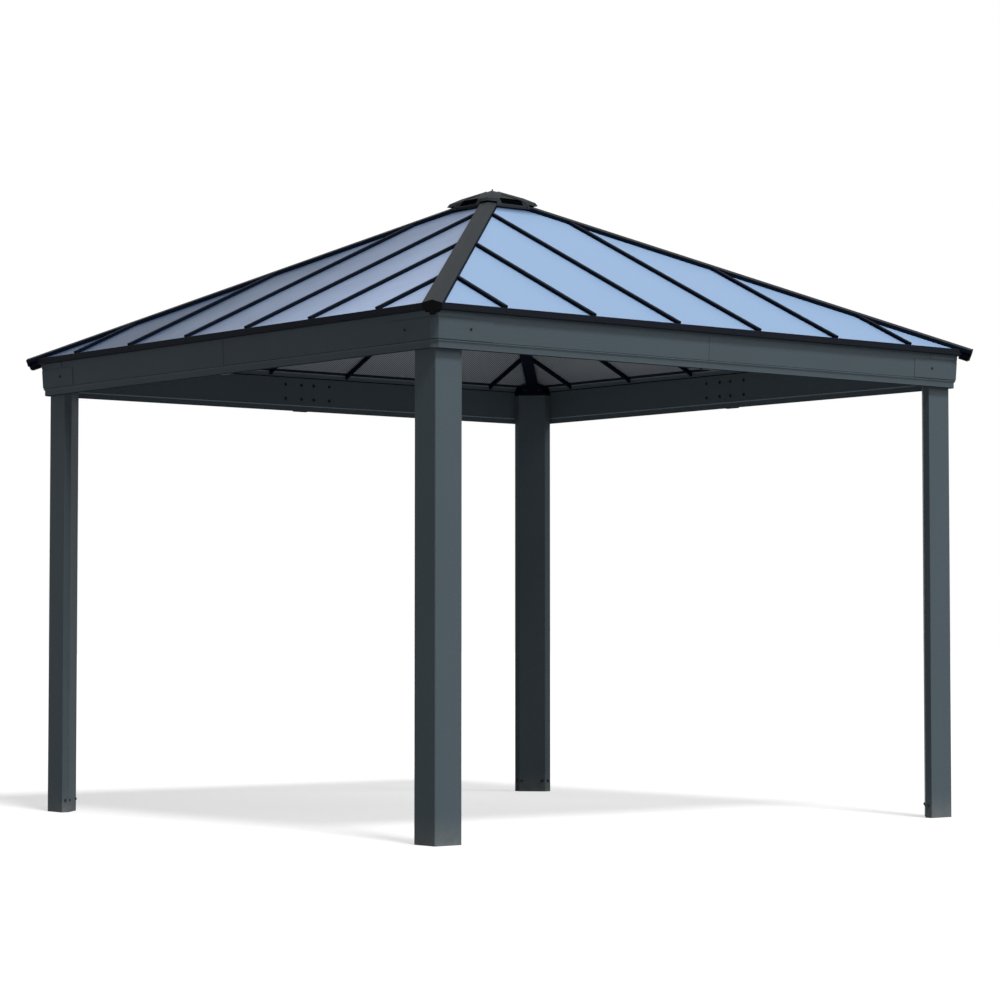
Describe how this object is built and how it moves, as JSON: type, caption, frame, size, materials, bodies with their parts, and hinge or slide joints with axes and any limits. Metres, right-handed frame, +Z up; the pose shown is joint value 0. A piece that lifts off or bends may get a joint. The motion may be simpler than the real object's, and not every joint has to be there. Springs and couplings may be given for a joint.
{
  "type": "metal gazebo",
  "caption": "Open square gazebo: folded metal posts carry a ring of deep beams and a pyramid roof of twin-wall glazing between dark rafters and hips, with a vent hood on top.",
  "frame": {"origin": "on the ground at the middle of the four posts", "axes": "+Z up; the front is -Y and the right is +X, and all four sides are alike"},
  "size_m": [3.685, 3.685, 3.361],
  "materials": {
    "post_coat": "satin dark blue-grey powder coat",
    "beam_coat": "satin dark blue-grey powder coat",
    "dark_section": "satin near-black powder coat on aluminium",
    "hip_coat": "satin charcoal powder coat on aluminium",
    "glazing": "translucent blue-grey twin-wall sheet",
    "black_plastic": "matt black moulding",
    "steel_plate": "coated steel plate"
  },
  "bodies": {
    "root": {"post_front_left": "post_coat", "post_front_right": "post_coat", "post_back_right": "post_coat", "post_back_left": "post_coat", "foot_plate_front_left": "steel_plate", "foot_plate_front_right": "steel_plate", "foot_plate_back_right": "steel_plate", "foot_plate_back_left": "steel_plate", "beam_front_a": "beam_coat", "beam_front_b": "beam_coat", "beam_right_a": "beam_coat", "beam_right_b": "beam_coat", "beam_back_a": "beam_coat", "beam_back_b": "beam_coat", "beam_left_a": "beam_coat", "beam_left_b": "beam_coat", "beam_splices": "steel_plate", "eave_rail_front": "dark_section", "eave_rail_right": "dark_section", "eave_rail_back": "dark_section", "eave_rail_left": "dark_section", "rafters_front": "dark_section", "rafters_right": "dark_section", "rafters_back": "dark_section", "rafters_left": "dark_section", "panels_front": "glazing", "panels_right": "glazing", "panels_back": "glazing", "panels_left": "glazing", "hip_rafter_front_left": "dark_section", "hip_rafter_front_right": "dark_section", "hip_rafter_back_right": "dark_section", "hip_rafter_back_left": "dark_section", "hip_cover_front_left": "hip_coat", "hip_cover_front_right": "hip_coat", "hip_cover_back_right": "hip_coat", "hip_cover_back_left": "hip_coat", "hip_end_cap_front_left": "black_plastic", "hip_end_cap_front_right": "black_plastic", "hip_end_cap_back_right": "black_plastic", "hip_end_cap_back_left": "black_plastic", "hip_brackets": "black_plastic", "apex_hub": "dark_section", "vent_hood": "hip_coat", "finial": "dark_section"}
  },
  "joints": []
}
